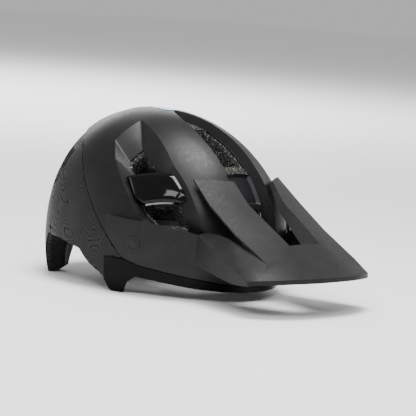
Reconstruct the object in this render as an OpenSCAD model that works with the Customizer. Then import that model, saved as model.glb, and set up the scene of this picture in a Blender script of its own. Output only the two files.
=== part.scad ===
// Mountain-bike helmet with a tilting visor: foam liner, outer shells, visor, pads, straps and a
// dial-adjusted head cradle. Millimetres, +Z up, the front of the helmet towards -Y, +X the
// wearer's left. The origin is the centre of the bounding box's bottom face.

/* [Outer shape] */
// Half the helmet's width
half_w = 107; // [98:0.5:115]
// Dome centre to the front of the brow
front_len = 160; // [145:1:170]
// Dome centre to the back of the helmet
rear_len = 111.7; // [100:1:120]
// Height of the crown above the dome centre
crown_h = 133; // [120:1:145]
// Height of the dome centre above the table
base_h = 46; // [35:1:60]
// Dome centre behind the middle of the whole helmet
dome_y = 71.7; // [60:0.1:85]
// Thickness of the moulded outer shell
shell_t = 1.8; // [1:0.1:3]

/* [Head cavity] */
// Half the width of the foam cavity
cav_half_w = 81; // [74:0.5:88]
// Dome centre to the front of the cavity
cav_front = 126; // [115:1:135]
// Dome centre to the back of the cavity
cav_rear = 80; // [72:1:90]
// Height of the cavity above the dome centre
cav_h = 102; // [92:1:112]

/* [Visor] */
// Thickness of the visor moulding
visor_t = 2.6; // [2:0.1:4]
// Radius of a visor pivot stud
pivot_r = 4; // [3:0.1:5]
// Height of the pivot above the table
pivot_z = 52; // [45:1:65]
// Pivot's place along the helmet
pivot_y = -5.3; // [-20:0.1:10]

/* [Fit system] */
// Height of the dial's axis
dial_z = 32; // [28:1:38]
// Radius of the dial knob
dial_r = 13; // [10:0.5:16]
// Teeth on the dial's pinion
pinion_teeth = 12; // [12:1:16]
// Gear module of pinion and racks
gear_m = 1; // [0.8:0.1:1.2]
// Middle of the racks, front to back
rack_y = 139.7; // [134:0.1:145]

/* [Straps] */
// Thickness of the webbing
web_t = 1.3; // [1:0.1:2]

/* [Hidden] */
$fn = 48;
// A form is [front semi-length, rear semi-length, half width, height, rear exponent, flare]
outer = [front_len, rear_len, half_w, crown_h, 2.2, 0];
inner = [cav_front, cav_rear, cav_half_w, cav_h, 2.2, 9];
head = [cav_front, cav_rear, cav_half_w, cav_h, 2.2, 0];
pitch_r = gear_m * pinion_teeth / 2;
gap = 0.8;
graphite = [0.09, 0.09, 0.1];
gloss = [0.03, 0.03, 0.035];
foam_black = [0.06, 0.06, 0.06];
pad_grey = [0.16, 0.16, 0.18];
web_black = [0.05, 0.05, 0.06];
sky = [0.35, 0.72, 0.88];
steel = [0.6, 0.6, 0.62];

// Lower edge of the helmet: polar angle from the crown by angle from the front
rim = [[0, 103.5], [24, 103.5], [40, 103], [50, 102.8], [54, 106.5], [57, 114.5], [63, 114.5],
  [68, 107], [78, 102], [82, 99], [86, 95], [97, 93], [106, 91.5], [120, 91], [127, 98],
  [134, 109], [137, 116], [148, 116], [153, 108], [158, 96], [164, 88], [180, 87.5]];
// Seam between the front shell and the rear shell, then the top of the lower wrap
seam = [[0, 100.7], [11, 100.5], [28.5, 99], [49, 97], [56.5, 95], [63.5, 88], [72.5, 78],
  [83, 65.5], [95.5, 52], [108, 42.5], [125, 36], [150, 32], [180, 31]];
// Outlines of the openings, each a list of [polar angle, angle from the front]
recess_rear = [[21.5, 67], [36, 79], [46.5, 71], [59.5, 61], [69.5, 53.5], [77, 48], [83, 40]];
recess_front = [[21.5, 63], [36, 42.5], [52, 34.5], [64, 28.5], [74.5, 25.5], [83, 22.5]];
recess_steps = [21.5, 29, 36, 44, 52, 60, 67.5, 75, 83];
upper_hole = [[37.5, 54.5], [44, 63], [55.5, 58.5], [57.5, 37.5]];
lower_hole = [[69.5, 48.5], [80.5, 39.5], [81.5, 27.5], [70.5, 30]];
bridge = [[56.5, 61], [59, 34], [68, 29.8], [69.3, 33], [69.3, 48.5], [66, 54.5]];
top_vent = [[27, 13], [54.5, 8.4], [54.5, -8.4], [27, -13]];
brow_vent = [[74.5, 6], [81, 5], [81, -5], [74.5, -6]];
channel_edge = [[9, 6], [14, 14], [23, 16.4], [30, 15.1], [42, 12.9], [53.5, 10.7], [76, 9.5]];
channel_steps = [9, 14, 23, 32, 42, 53.5, 64, 75];
crown_vent = [[13, 125], [28, 138], [27, 160], [14, 165]];
rear_vent = [[44, 118], [62, 121], [69, 132], [56, 141], [45, 134]];
exhaust = [[46, 172], [61, 168], [65, 152], [50, 154]];

function pw(a, b) = pow(abs(a), b);
// Radius of a form along polar angle p and front angle a
function form_r(f, p, a) =
  let (s = sin(p), dx = s * sin(a), dy = -s * cos(a), dz = cos(p),
    len = dy < 0 ? f[0] : f[1],
    nz = (2 + f[4]) / 2 + (2 - f[4]) / 2 * cos(a),
    h = pow(pw(dx / f[2], 2.1) + pw(dy / len, 2.1), nz / 2.1))
  pow(h + pw(dz / f[3], nz), -1 / nz) + f[5] * max(0, (p - 88) / 22);
function on(f, p, a, off = 0) =
  let (r = form_r(f, p, a) + off)
  [r * sin(p) * sin(a), dome_y - r * sin(p) * cos(a), base_h + r * cos(p)];
function mid(v) = [for (k = [0:len(v[0]) - 1]) [for (q = v) q[k]] * [for (q = v) 1] / len(v)];
// Edge lookup that treats both sides of the helmet alike
function edge(t, a) = lookup(abs(a > 180 ? a - 360 : a), t);
function grid_faces(na, nr, q) = concat(
  [for (i = [0:na - 1], j = [0:nr - 1]) let (a = i * (nr + 1) + j, b = a + nr + 1)
    each [[a, b, b + 1], [a, b + 1, a + 1],
      [q + a, q + b + 1, q + b], [q + a, q + a + 1, q + b + 1]]],
  [for (i = [0:na - 1]) let (a = i * (nr + 1), b = a + nr + 1)
    each [[b, a, q + a], [b, q + a, q + b],
      [a + nr, b + nr, q + b + nr], [a + nr, q + b + nr, q + a + nr]]],
  [for (j = [0:nr - 1]) let (e = na * (nr + 1) + j)
    each [[j, j + 1, q + j + 1], [j, q + j + 1, q + j],
      [e + 1, e, q + e], [e + 1, q + e, q + e + 1]]]);

// A curved plate that follows a form from table t0 down to table t1 between two front angles
module band(f, a0, a1, na, nr, t0, t1, o_out, o_in) {
  g = function (off) [for (i = [0:na], j = [0:nr])
    let (a = a0 + (a1 - a0) * i / na, p0 = edge(t0, a), p1 = edge(t1, a))
    on(f, p0 + (p1 - p0) * j / nr, a, off)];
  polyhedron(concat(g(o_out), g(o_in)), grid_faces(na, nr, (na + 1) * (nr + 1)));
}

// A closed dome skin from the crown down to table t, between outer and inner forms
module cap(fo, fi, o_out, o_in, na, nr, t) {
  g = function (f, off) [for (i = [0:na - 1], j = [1:nr])
    let (a = -180 + 360 * i / na) on(f, edge(t, a) * j / nr, a, off)];
  q = na * nr;
  v = function (i, j) (i % na) * nr + j - 1;
  polyhedron(
    concat(g(fo, o_out), g(fi, o_in), [on(fo, 0, 0, o_out), on(fi, 0, 0, o_in)]),
    concat(
      [for (i = [0:na - 1], j = [1:nr - 1])
        let (a = v(i, j), b = v(i + 1, j))
        each [[a, b, b + 1], [a, b + 1, a + 1], [q + a, q + b + 1, q + b],
          [q + a, q + a + 1, q + b + 1]]],
      [for (i = [0:na - 1]) let (a = v(i, 1), b = v(i + 1, 1))
        each [[2 * q, b, a], [2 * q + 1, q + a, q + b]]],
      [for (i = [0:na - 1]) let (a = v(i, nr), b = v(i + 1, nr))
        each [[a, b, q + b], [a, q + b, q + a]]]));
}

// A wedge through an outline, from offset hi outside to offset lo inside, narrowed by k inside
module wedge(f, pts, hi, lo, k = 1) {
  m = mid(pts);
  wide = 1 - (1 - k) * hi / lo;
  o = [for (q = pts) let (w = m + (q - m) * wide) on(f, w[0], w[1], hi)];
  n = [for (q = pts) let (w = m + (q - m) * k) on(f, w[0], w[1], lo)];
  hull()
    polyhedron(concat(o, n), [[for (i = [0:len(pts) - 1]) i],
      [for (i = [0:len(pts) - 1]) len(pts) + i]]);
}
// A long pocket between two edges, built in short steps so that its floor follows the form
module trench(f, steps, ea, eb, hi, lo, k = 1) {
  g = function (p, side, off) let (a = lookup(p, ea), b = lookup(p, eb), m = (a + b) / 2,
    w = (side > 0 ? a : b) - m, z = 1 - (1 - k) * (1 - (off - lo) / -lo))
    on(f, p, m + w * z, off);
  for (i = [0:len(steps) - 2])
    hull()
      polyhedron([for (j = [0, 1], side = [-1, 1], off = [hi, lo]) g(steps[i + j], side, off)],
        [[0, 1, 2], [4, 5, 6]]);
}
module both() {
  children();
  mirror([1, 0, 0])
    children();
}
// A thin plate through corner points
module plate(pts, t = visor_t) {
  hull()
    for (q = pts)
      translate(q)
        sphere(d = t, $fn = 8);
}
function normal(f, p, a) =
  let (n = cross(on(f, p + 1, a) - on(f, p - 1, a), on(f, p, a + 1) - on(f, p, a - 1)))
  n / norm(n);
// A round disc lying on a form, its axis along the outward normal
module disc_on(f, p, a, off, r, h) {
  n = normal(f, p, a);
  translate(on(f, p, a) + n * off)
    rotate([0, acos(n[2]), atan2(n[1], n[0])])
      cylinder(r = r, h = h, $fn = 32);
}
module pivot_turned(x) {
  translate([x, pivot_y, pivot_z])
    rotate([0, 90, 0])
      children();
}

module vents(hi) {
  both() {
    wedge(outer, upper_hole, hi, -45, 0.8);
    wedge(outer, lower_hole, hi, -45, 0.8);
    wedge(outer, crown_vent, hi, -45, 0.75);
    wedge(outer, rear_vent, hi, -45, 0.75);
    wedge(outer, exhaust, hi, -45, 0.75);
  }
  wedge(outer, top_vent, hi, -45, 0.85);
  wedge(outer, brow_vent, hi, -50, 0.9);
}
mirrored_edge = [for (e = channel_edge) [e[0], -e[1]]];
module pockets(depth, shallow, k) {
  both()
    trench(outer, recess_steps, recess_rear, recess_front, 5, -depth, k);
  trench(outer, channel_steps, channel_edge, mirrored_edge, 5, -shallow, k);
}
module feet_cut() {
  translate([0, 0, -20])
    cube([400, 500, 40], center = true);
}
module eps_liner() {
  color(foam_black)
    difference() {
      cap(outer, inner, -shell_t - gap, 0, 72, 12, rim);
      vents(5);
      pockets(14, 9, 0.78);
      both()
        pivot_turned(81.8)
          cylinder(r = 9.6, h = 30, $fn = 32);
      both()
        bridge_block(1.04, 3, -14.6);
      feet_cut();
    }
}
module main_shell() {
  color(graphite)
    difference() {
      cap(outer, outer, 0, -shell_t, 72, 11, seam);
      vents(3);
      pockets(5, 5, 0.94);
      both()
        pivot_turned(81.8)
          cylinder(r = 9.6, h = 30, $fn = 32);
    }
}
module rear_shell() {
  color(graphite)
    difference() {
      band(outer, 56.8, 303.2, 52, 7, [for (e = seam) [e[0], e[1] + 0.25]],
        [for (e = rim) [e[0], max(seam_at(e[0]), e[1]) - 0.3]], 0, -shell_t);
      vents(3);
      band(outer, 50, 68, 4, 2, [[0, 96], [90, 96]], [[0, 120], [90, 120]], 3, -6);
      mirror([1, 0, 0])
        band(outer, 50, 68, 4, 2, [[0, 96], [90, 96]], [[0, 120], [90, 120]], 3, -6);
      feet_cut();
    }
}
function seam_at(a) = lookup(a, seam) + 0.6;
module lower_wrap() {
  color(gloss)
    difference() {
      band(outer, -67.8, 67.8, 44, 3, [for (e = seam) [e[0], min(101, max(96.3, e[1] + 0.25))]],
        [for (e = rim) [e[0], e[1] - 0.2]], 0.3, -shell_t);
      feet_cut();
    }
}
module bridge_block(grow, hi, lo) {
  m = mid(bridge);
  wedge(outer, [for (q = bridge) m + (q - m) * grow], hi, lo, 0.94);
}
module vent_bridge() {
  bridge_block(1, -4, -13.6);
}
module crown_decal() {
  color(sky)
    band(outer, -6, 6, 4, 2, [[0, 2], [10, 2]], [[0, 10], [10, 10]], 0.5, 0.05);
}

// The visor: side wings on the shell, two arms up the brow and one front plate
wing_gap = 2.4;
wing_top = [[26, 82], [28, 81.5], [45.5, 78], [60, 76], [66.5, 75]];
wing_low = [[26, 93.5], [28.5, 93.5], [55.5, 94.5], [58, 93], [66.5, 80]];
// Key points of the right half, measured from the dome centre and from the table
wing_root = [-64, -134, 66];
shoulder = [-72.5, -183.5, 69];
slot_end = [-62, -225.5, 49.8];
arm_end = [-22, -215, 64.3];
corner = [-83.8, -223.2, 34.6];
peak = [corner, [-72, -234.5, 36.3], [-60, -243, 37.3], [-42, -250, 37.9], [-22, -253, 38],
  [0, -253.5, 38]];
lip = [0, -0.5, -3.6];
arm_in = [[-27.4, -139.8, 117.5], [-26, -160.8, 97], [-24, -194.3, 77.1], arm_end];
arm_out = [[-59.7, -117, 118], [-63, -145.5, 96], [-63, -182.2, 72.5], slot_end];
module visor_half() {
  mirror([1, 0, 0])
    band(outer, 26, 66.5, 12, 3, wing_top, wing_low, wing_gap + visor_t - 0.2, wing_gap);
  translate([0, dome_y, 0]) {
    plate([wing_root, [-65, -134, 38], [-79, -199, 28], [-83.2, -224, 31], corner]);
    plate([wing_root, shoulder, corner]);
    plate([shoulder, slot_end, corner]);
    for (i = [0:2])
      plate([slot_end, peak[i], peak[i + 1]]);
    plate([slot_end, peak[3], peak[4], arm_end]);
    plate([arm_end, peak[4], peak[5], [0, -213.5, 63]]);
    for (i = [0:4])
      plate([peak[i], peak[i + 1], peak[i] + lip, peak[i + 1] + lip], 2);
    for (i = [0:2])
      plate([arm_in[i], arm_in[i + 1], arm_out[i], arm_out[i + 1]]);
  }
}
module visor() {
  color(graphite)
    difference() {
      union() {
        difference() {
          both()
            visor_half();
          cap(outer, inner, 1.6, 0, 48, 10, [[0, 112], [180, 112]]);
        }
        both()
          intersection() {
            pivot_turned(86.4)
              cylinder(r = 8, h = 16, $fn = 32);
            cap(outer, inner, wing_gap + 1.2, -20, 48, 10, [[0, 105], [180, 105]]);
          }
      }
      both()
        pivot_turned(80)
          cylinder(r = pivot_r + 0.1, h = 15, $fn = 64);
    }
}
module pivot_studs() {
  color(gloss)
    both()
      pivot_turned(82) {
        cylinder(r = 9.3, h = 4);
        cylinder(r = pivot_r, h = 12.2);
      }
}
module pivot_caps() {
  color(graphite)
    both()
      disc_on(outer, 87.2, 51, wing_gap + visor_t - 0.1, 7, 0.9);
}

// Soft pads on the cavity wall
module brow_pad() {
  color(pad_grey)
    band(inner, -52, 52, 22, 2, [[0, 87], [52, 88]], [[0, 98], [52, 98]], -1.8, -7);
}
module crown_pad() {
  color(pad_grey) {
    band(inner, -26, 26, 6, 3, [[0, 2], [26, 2]], [[0, 24], [26, 20]], -1.8, -7);
    band(inner, 154, 206, 6, 2, [[0, 2], [180, 2]], [[0, 12], [180, 12]], -1.8, -7);
  }
}
module side_pads() {
  color(pad_grey)
    both()
      band(inner, 70, 96, 6, 6, [[0, 34], [100, 34]], [[0, 64], [100, 64]], -1.8, -8);
}
module rear_pads() {
  color(pad_grey)
    both()
      band(inner, 138, 172, 6, 3, [[0, 31.5], [180, 31.5]], [[0, 43], [180, 43]], -1.8, -7);
}
dots = [[92, 20], [92, 42], [12, 16], [42, 83], [57, 83], [37, 155]];
module hook_dots() {
  color(web_black)
    both()
      for (d = dots)
        disc_on(inner, d[0], d[1], -1.5, 5, 0.5);
}
discs = [[26, 58], [26, 104], [64, 21], [47, 22], [42, 107]];
module damping_discs() {
  color(sky)
    both()
      for (d = discs)
        difference() {
          disc_on(inner, d[0], d[1], -5.2, 8.5, 3.6);
          disc_on(inner, d[0], d[1], -6, 4.5, 2.6);
        }
}

// Webbing, its hardware and the buckle, folded up inside the cavity
module strap_anchors() {
  color(gloss)
    both() {
      disc_on(inner, 91, 62, -2.1, 6, 1.3);
      disc_on(inner, 84, 126, -2.1, 6, 1.3);
    }
}
module straps() {
  band(inner, 58, 88.6, 9, 1, [[58, 87], [62, 87], [90, 70]], [[58, 94], [62, 94], [90, 78]],
    -2.6, -2.6 - web_t);
  band(inner, 101.4, 130, 9, 1, [[100, 70], [126, 80.5], [131, 81]],
    [[100, 78], [126, 87.5], [131, 88]], -2.6, -2.6 - web_t);
}
module chin_strap(a_end) {
  band(inner, 101.4, a_end, 18, 1, [[95, 66], [112, 69], [180, 69]], [[95, 68.5], [112, 76.5],
    [180, 76.5]], -4.2, -4.2 - web_t);
}
module divider() {
  band(inner, 89, 101, 4, 4, [[80, 66.5], [110, 66.5]], [[80, 79.5], [110, 79.5]], -2, -5.4);
}
module lever() {
  band(inner, 90, 100, 3, 4, [[80, 68.5], [110, 68.5]], [[80, 79], [110, 79]], -5.7, -7.5);
  p0 = on(inner, 68.5, 90, -7);
  v = on(inner, 68.5, 100, -7) - p0;
  translate(p0)
    rotate([0, acos(v[2] / norm(v)), atan2(v[1], v[0])])
      cylinder(r = 1.2, h = norm(v), $fn = 24);
}
module buckle_female() {
  color(gloss)
    difference() {
      band(inner, 146, 160, 5, 3, [[0, 67], [180, 67]], [[0, 77], [180, 77]], -2, -9);
      band(inner, 148, 157.5, 4, 2, [[0, 69.5], [180, 69.5]], [[0, 74.5], [180, 74.5]], -4.4, -12);
    }
}
module buckle_button() {
  color(gloss)
    band(inner, 149, 156.5, 4, 2, [[0, 70.3], [180, 70.3]], [[0, 73.7], [180, 73.7]], -6.9, -10.5);
}
module buckle_male() {
  color(gloss)
    mirror([1, 0, 0])
      band(inner, 146, 159, 5, 3, [[0, 67.5], [180, 67.5]], [[0, 76.5], [180, 76.5]], -2, -7.5);
}
module chin_pad() {
  color(pad_grey)
    band(inner, 115, 136, 8, 2, [[0, 68], [180, 68]], [[0, 77.6], [180, 77.6]],
      -5.9, -8.4);
}

// Involute pinion and straight rack with stub teeth
rb = pitch_r * cos(20);
function inv(r) = let (c = rb / r, a = acos(c)) tan(a) * 180 / PI - a;
function flank(r, s) = let (w = 90 / pinion_teeth - 1.3 + inv(pitch_r) - inv(r)) s * w;
module gear2d() {
  ro = pitch_r + 0.7 * gear_m;
  ri = max(rb + 0.02, pitch_r - 0.95 * gear_m);
  steps = 5;
  polygon([for (t = [0:pinion_teeth - 1]) let (c = t * 360 / pinion_teeth) each concat(
    [[(ri - 0.45) * cos(c + flank(ri, -1)), (ri - 0.45) * sin(c + flank(ri, -1))]],
    [for (k = [0:steps]) let (r = ri + (ro - ri) * k / steps, g = c + flank(r, -1))
      [r * cos(g), r * sin(g)]],
    [for (k = [steps:-1:0]) let (r = ri + (ro - ri) * k / steps, g = c + flank(r, 1))
      [r * cos(g), r * sin(g)]],
    [[(ri - 0.45) * cos(c + flank(ri, 1)), (ri - 0.45) * sin(c + flank(ri, 1))]])]);
}
module rack2d(x0, n) {
  p = PI * gear_m;
  for (t = [0:n - 1])
    translate([x0 + t * p, 0])
      polygon([[-1.137, -1.2], [-0.445, 0.7], [0.445, 0.7], [1.137, -1.2]] * gear_m);
}
module rack_bar(n, x_lo, x_hi) {
  translate([0, rack_y, dial_z])
    rotate([90, 0, 0])
      linear_extrude(height = 3, center = true) {
        translate([0, -pitch_r])
          rack2d(-PI * gear_m * 3.5, n);
        translate([x_lo, -pitch_r - 5.2])
          square([x_hi - x_lo, 4.2]);
      }
}
module dial_pinion() {
  color(gloss)
    translate([0, rack_y, dial_z])
      rotate([90, 0, 0]) {
        rotate([0, 0, 90])
          linear_extrude(height = 3.4, center = true)
            gear2d();
        translate([0, 0, -6.8])
          cylinder(r = 3, h = 5.3);
        translate([0, 0, -8.6])
          cylinder(r = 2, h = 3, $fn = 6);
      }
}
// One headband arm: toothed bar under the pinion, riser, and band along the cavity wall
module headband(over) {
  z0 = over ? dial_z + pitch_r + 1 : dial_z - pitch_r - 5.2;
  if (over)
    translate([0, 0, 2 * dial_z])
      mirror([0, 0, 1])
        rack_bar(11, -14, 37);
  else
    rack_bar(11, -14, 37);
  hull() {
    translate([34, rack_y - 1.5, z0])
      cube([3, 3, 4.2]);
    for (p = [86, 93])
      translate(on(head, p, 148, -6.4))
        cube(1.6, center = true);
  }
  band(head, 72, 149, 20, 1, [[60, 84], [110, 84], [151, 85]], [[60, 91], [110, 91],
    [151, 94]], -5.6, -7.2);
}
module dial_housing() {
  color(gloss)
    difference() {
      union() {
        translate([-21, rack_y - 4.1, dial_z - 13.5])
          cube([42, 7.9, 27]);
        translate([-5, rack_y - 4.1, dial_z + 13])
          cube([10, 11, 3.2]);
      }
      translate([-22, rack_y - 2, dial_z - 11.7])
        cube([44, 4, 23.4]);
      translate([0, rack_y, dial_z])
        rotate([-90, 0, 0])
          cylinder(r = 3.08, h = 10, $fn = 64);
    }
}
module dial_knob() {
  color(graphite)
    translate([0, rack_y + 4.3, dial_z])
      rotate([-90, 0, 0])
        difference() {
          cylinder(r1 = dial_r, r2 = dial_r - 1.5, h = 8.5, $fn = 72);
          for (k = [0:11])
            rotate(k * 30)
              translate([dial_r + 0.6, 0, -1])
                cylinder(r = 2.2, h = 12, $fn = 24);
          translate([0, 0, -1])
            cylinder(r = 3.1, h = 3.8);
          translate([0, 0, 1])
            cylinder(r = 2.05, h = 4, $fn = 6);
          translate([0, 0, 7.5])
            cylinder(r1 = 7, r2 = 8, h = 2);
        }
}
module cradle() {
  color(gloss)
    difference() {
      band(head, 146, 214, 14, 5, [[0, 78], [150, 83], [180, 76]], [[0, 92], [150, 96],
        [165, 104], [180, 105]], -16.4, -18.4);
      for (s = [-1, 1])
        wedge(head, [[84, 180 + s * 6], [84, 180 + s * 14], [93, 180 + s * 18],
          [93, 180 + s * 6]], -10, -25);
      for (s = [-1, 0, 1])
        wedge(head, [[97, 177 + s * 13], [97, 183 + s * 13], [100, 183 + s * 13],
          [100, 177 + s * 13]], -10, -25);
      wedge(head, [[77.5, 176], [77.5, 184], [80, 184], [80, 176]], -10, -25);
      wedge(head, [[95, 152], [95, 158], [97, 158], [97, 152]], -10, -25);
      wedge(head, [[95, 202], [95, 208], [97, 208], [97, 202]], -10, -25);
    }
}
module cradle_pad() {
  color(pad_grey)
    band(head, 164, 196, 6, 4, [[0, 94.5], [180, 94.5]], [[0, 103.5], [180, 103.5]], -18.7,
      -22.5);
}
module height_rail() {
  color(gloss)
    difference() {
      band(head, 174, 186, 4, 8, [[0, 62], [180, 62]], [[0, 84], [180, 84]], -0.9, -3.2);
      for (k = [0:3])
        wedge(head, [[65 + k * 5, 178], [65 + k * 5, 182], [67 + k * 5, 182],
          [67 + k * 5, 178]], 2, -8);
    }
}
module height_strap() {
  color(gloss)
    difference() {
      union() {
        band(head, 175.5, 184.5, 4, 10, [[0, 64], [180, 64]], [[0, 88], [180, 88]], -3.6, -5);
        for (s = [-1, 1])
          wedge(head, [[65.5, 180 - 1.2], [65.5, 180 + 1.2], [66.5, 180 + 1.2],
            [66.5, 180 - 1.2]], -4.8, -6.2);
      }
      for (k = [0:3])
        wedge(head, [[69 + k * 4, 178.5], [69 + k * 4, 181.5], [71 + k * 4, 181.5],
          [71 + k * 4, 178.5]], 2, -8);
    }
}

eps_liner();
main_shell();
rear_shell();
lower_wrap();
color(gloss) vent_bridge();  // vent_bridge_left
color(gloss) mirror([1, 0, 0]) vent_bridge();  // vent_bridge_right
crown_decal();
visor();
pivot_studs();
pivot_caps();
brow_pad();
crown_pad();
side_pads();
rear_pads();
hook_dots();
damping_discs();
strap_anchors();
color(web_black) straps();  // straps_left
color(web_black) mirror([1, 0, 0]) straps();  // straps_right
color(web_black) chin_strap(145.6);  // chin_strap_left
color(web_black) mirror([1, 0, 0]) chin_strap(145.6);  // chin_strap_right
color(gloss) divider();  // divider_left
color(gloss) mirror([1, 0, 0]) divider();  // divider_right
color(gloss) lever();  // lever_left
color(gloss) mirror([1, 0, 0]) lever();  // lever_right
buckle_female();
buckle_male();
buckle_button();
chin_pad();
cradle();
cradle_pad();
dial_housing();
dial_knob();
dial_pinion();
color(gloss) headband(false);  // headband_left
color(gloss) mirror([1, 0, 0]) headband(true);  // headband_right
height_rail();
height_strap();
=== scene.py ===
"""A mountain-bike helmet with a tilting visor, built as separate pieces over the CAD frame.

The pieces are made in the order a maker would fit them: foam liner, front shell, rear shell, lower
wrap, vent bridges, visor, pads, webbing and the dial-adjusted cradle.
"""

import logging
import math
from dataclasses import dataclass, field
from enum import Enum
from typing import Callable, Iterable, Sequence

import bmesh
import bpy
import numpy as np
from mathutils import Matrix, Vector
from mathutils.geometry import delaunay_2d_cdt

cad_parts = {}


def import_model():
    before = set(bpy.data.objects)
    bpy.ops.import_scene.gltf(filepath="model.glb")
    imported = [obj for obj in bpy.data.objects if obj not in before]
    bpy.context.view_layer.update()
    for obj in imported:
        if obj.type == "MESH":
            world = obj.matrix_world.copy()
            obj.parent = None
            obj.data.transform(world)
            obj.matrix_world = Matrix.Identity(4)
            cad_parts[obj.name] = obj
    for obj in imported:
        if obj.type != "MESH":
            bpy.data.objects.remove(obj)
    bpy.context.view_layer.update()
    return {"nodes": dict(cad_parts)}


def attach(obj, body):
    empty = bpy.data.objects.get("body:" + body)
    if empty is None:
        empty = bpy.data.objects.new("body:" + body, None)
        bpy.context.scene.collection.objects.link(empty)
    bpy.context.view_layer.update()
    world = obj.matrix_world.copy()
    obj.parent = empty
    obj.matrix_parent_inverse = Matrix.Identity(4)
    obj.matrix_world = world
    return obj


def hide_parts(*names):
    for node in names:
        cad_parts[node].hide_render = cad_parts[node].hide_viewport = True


LOG = logging.getLogger("helmet")
MM = 0.001
DOME_Y = 71.7
BASE_Z = 46.0

TINY = 1e-9
MAX_CUT = 0.42  # share of a side that a rounded corner may take
HUB_RADIUS = 8.0  # a turned rim is notched only outside this radius

Pair = tuple[float, float]
Loop = list[Pair]


# ---------------------------------------------------------------- forms and outlines


@dataclass(frozen=True)
class Form:
    """A dome: an egg-shaped surface given by a radius along every direction."""

    front: float
    rear: float
    half_width: float
    height: float
    rear_power: float = 2.2
    flare: float = 0.0
    temple_bulge: float = 0.0

    def points(self, uv: Iterable[Pair], off: float | np.ndarray = 0.0) -> np.ndarray:
        """Places points of the flat outline plan on the dome.

        Args:
            uv: plan points in degrees from the crown; v points to the front, u to the wearer's left.
            off: distance outside the form in millimetres.

        Returns:
            An array of points in millimetres.
        """
        uv = np.asarray(list(uv), float)
        p = np.radians(np.hypot(uv[:, 0], uv[:, 1]))
        a = np.arctan2(uv[:, 0], uv[:, 1])
        d = np.stack([np.sin(p) * np.sin(a), -np.sin(p) * np.cos(a), np.cos(p)], 1)
        length = np.where(d[:, 1] < 0, self.front, self.rear)
        nz = (2 + self.rear_power) / 2 + (2 - self.rear_power) / 2 * np.cos(a)
        h = (np.abs(d[:, 0] / self.half_width) ** 2.1 + np.abs(d[:, 1] / length) ** 2.1) ** (nz / 2.1)
        r = (h + np.abs(d[:, 2] / self.height) ** nz) ** (-1 / nz)
        r += self.flare * np.maximum(0, (np.degrees(p) - 88) / 22) + off
        r += self.temple_bulge * np.exp(-(((np.abs(np.degrees(a)) - 44) / 20) ** 2)
                                        - ((np.degrees(p) - 77) / 15) ** 2)
        return d * r[:, None] + np.array([0, DOME_Y, BASE_Z])

    def at(self, p: float, a: float, off: float = 0.0) -> Vector:
        """A single point at polar angle p and front angle a, in millimetres."""
        return Vector(self.points([polar(p, a)], off)[0])

    def normal(self, p: float, a: float) -> Vector:
        """The normal at polar angle p and front angle a, towards the wearer's left."""
        n = (self.at(p + 1, a) - self.at(p - 1, a)).cross(self.at(p, a + 1) - self.at(p, a - 1))
        return n.normalized() if n.x > 0 else -n.normalized()


OUTER = Form(160, 111.7, 107, 133, temple_bulge=5.0)
INNER = Form(126, 80, 81, 102, 2.2, 9)
HEAD = Form(126, 80, 81, 102, 2.2, 0)


def polar(p: float, a: float) -> Pair:
    """Plan point of polar angle p and front angle a, both in degrees."""
    return p * math.sin(math.radians(a)), p * math.cos(math.radians(a))


def loop_of(*pa: Pair) -> Loop:
    """Plan outline from (polar angle, front angle) corners."""
    return [polar(p, a) for p, a in pa]


def edge_at(table: Sequence[Pair], a: float) -> float:
    """Polar angle of an edge table at a front angle, alike on both sides."""
    xs, ys = zip(*table)
    return float(np.interp(abs((a + 180) % 360 - 180), xs, ys))


def arc_of(table: Sequence[Pair], a0: float, a1: float, step: float = 2.0) -> Loop:
    """Plan points along an edge table, with the table's own corners kept.

    Args:
        table: (front angle, polar angle) pairs of the edge.
        a0: front angle of the first point.
        a1: front angle of the last point.
        step: largest spacing in degrees.

    Returns:
        The points in order.
    """
    n = max(1, math.ceil(abs(a1 - a0) / step))
    angles = {a0 + (a1 - a0) * i / n for i in range(n + 1)}
    lo, hi = min(a0, a1), max(a0, a1)
    angles |= {s * x for x, _ in table for s in (1, -1) if lo < s * x < hi}
    kept: list[float] = []
    for a in sorted(angles, reverse=a1 < a0):
        if not kept or abs(a - kept[-1]) > 0.3:
            kept.append(a)
    return [polar(edge_at(table, a), a) for a in kept]


def arc_across_back(table: Sequence[Pair], a0: float, a1: float, step: float = 2.0) -> Loop:
    """Plan points along an edge table, for an arc that crosses the back of the helmet.

    Args:
        table: (front angle, polar angle) pairs of the edge.
        a0: front angle of the first point.
        a1: front angle of the last point, counted past 180.
        step: largest spacing in degrees.

    Returns:
        The points in order.
    """
    n = max(1, math.ceil(abs(a1 - a0) / step))
    angles = [a0 + (a1 - a0) * i / n for i in range(n + 1)]
    return [polar(edge_at(table, a), a) for a in angles]


def mirrored(loop: Sequence[Pair]) -> Loop:
    """The same outline on the other side of the helmet."""
    return [(-u, v) for u, v in loop]


def shrunk(loop: Sequence[Pair], k: float) -> Loop:
    """The outline scaled by k about its middle."""
    mu, mv = np.mean([q[0] for q in loop]), np.mean([q[1] for q in loop])
    return [(mu + (u - mu) * k, mv + (v - mv) * k) for u, v in loop]


def rounded(loop: Sequence[Pair], r: float) -> Loop:
    """Replaces every corner by four points of a small curve.

    Args:
        loop: closed plan outline.
        r: how far from the corner the curve starts, in degrees.

    Returns:
        The rounded outline.
    """
    out: Loop = []
    n = len(loop)
    for i in range(n):
        q0, q, q1 = (np.array(loop[j % n]) for j in (i - 1, i, i + 1))
        k0, k1 = (min(MAX_CUT, r / (np.linalg.norm(near - q) + TINY)) for near in (q0, q1))
        s, e = q + (q0 - q) * k0, q + (q1 - q) * k1
        for t in (0.0, 1 / 3, 2 / 3, 1.0):
            b = s * (1 - t) ** 2 + 2 * q * t * (1 - t) + e * t**2
            out.append((float(b[0]), float(b[1])))
    return out


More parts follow.
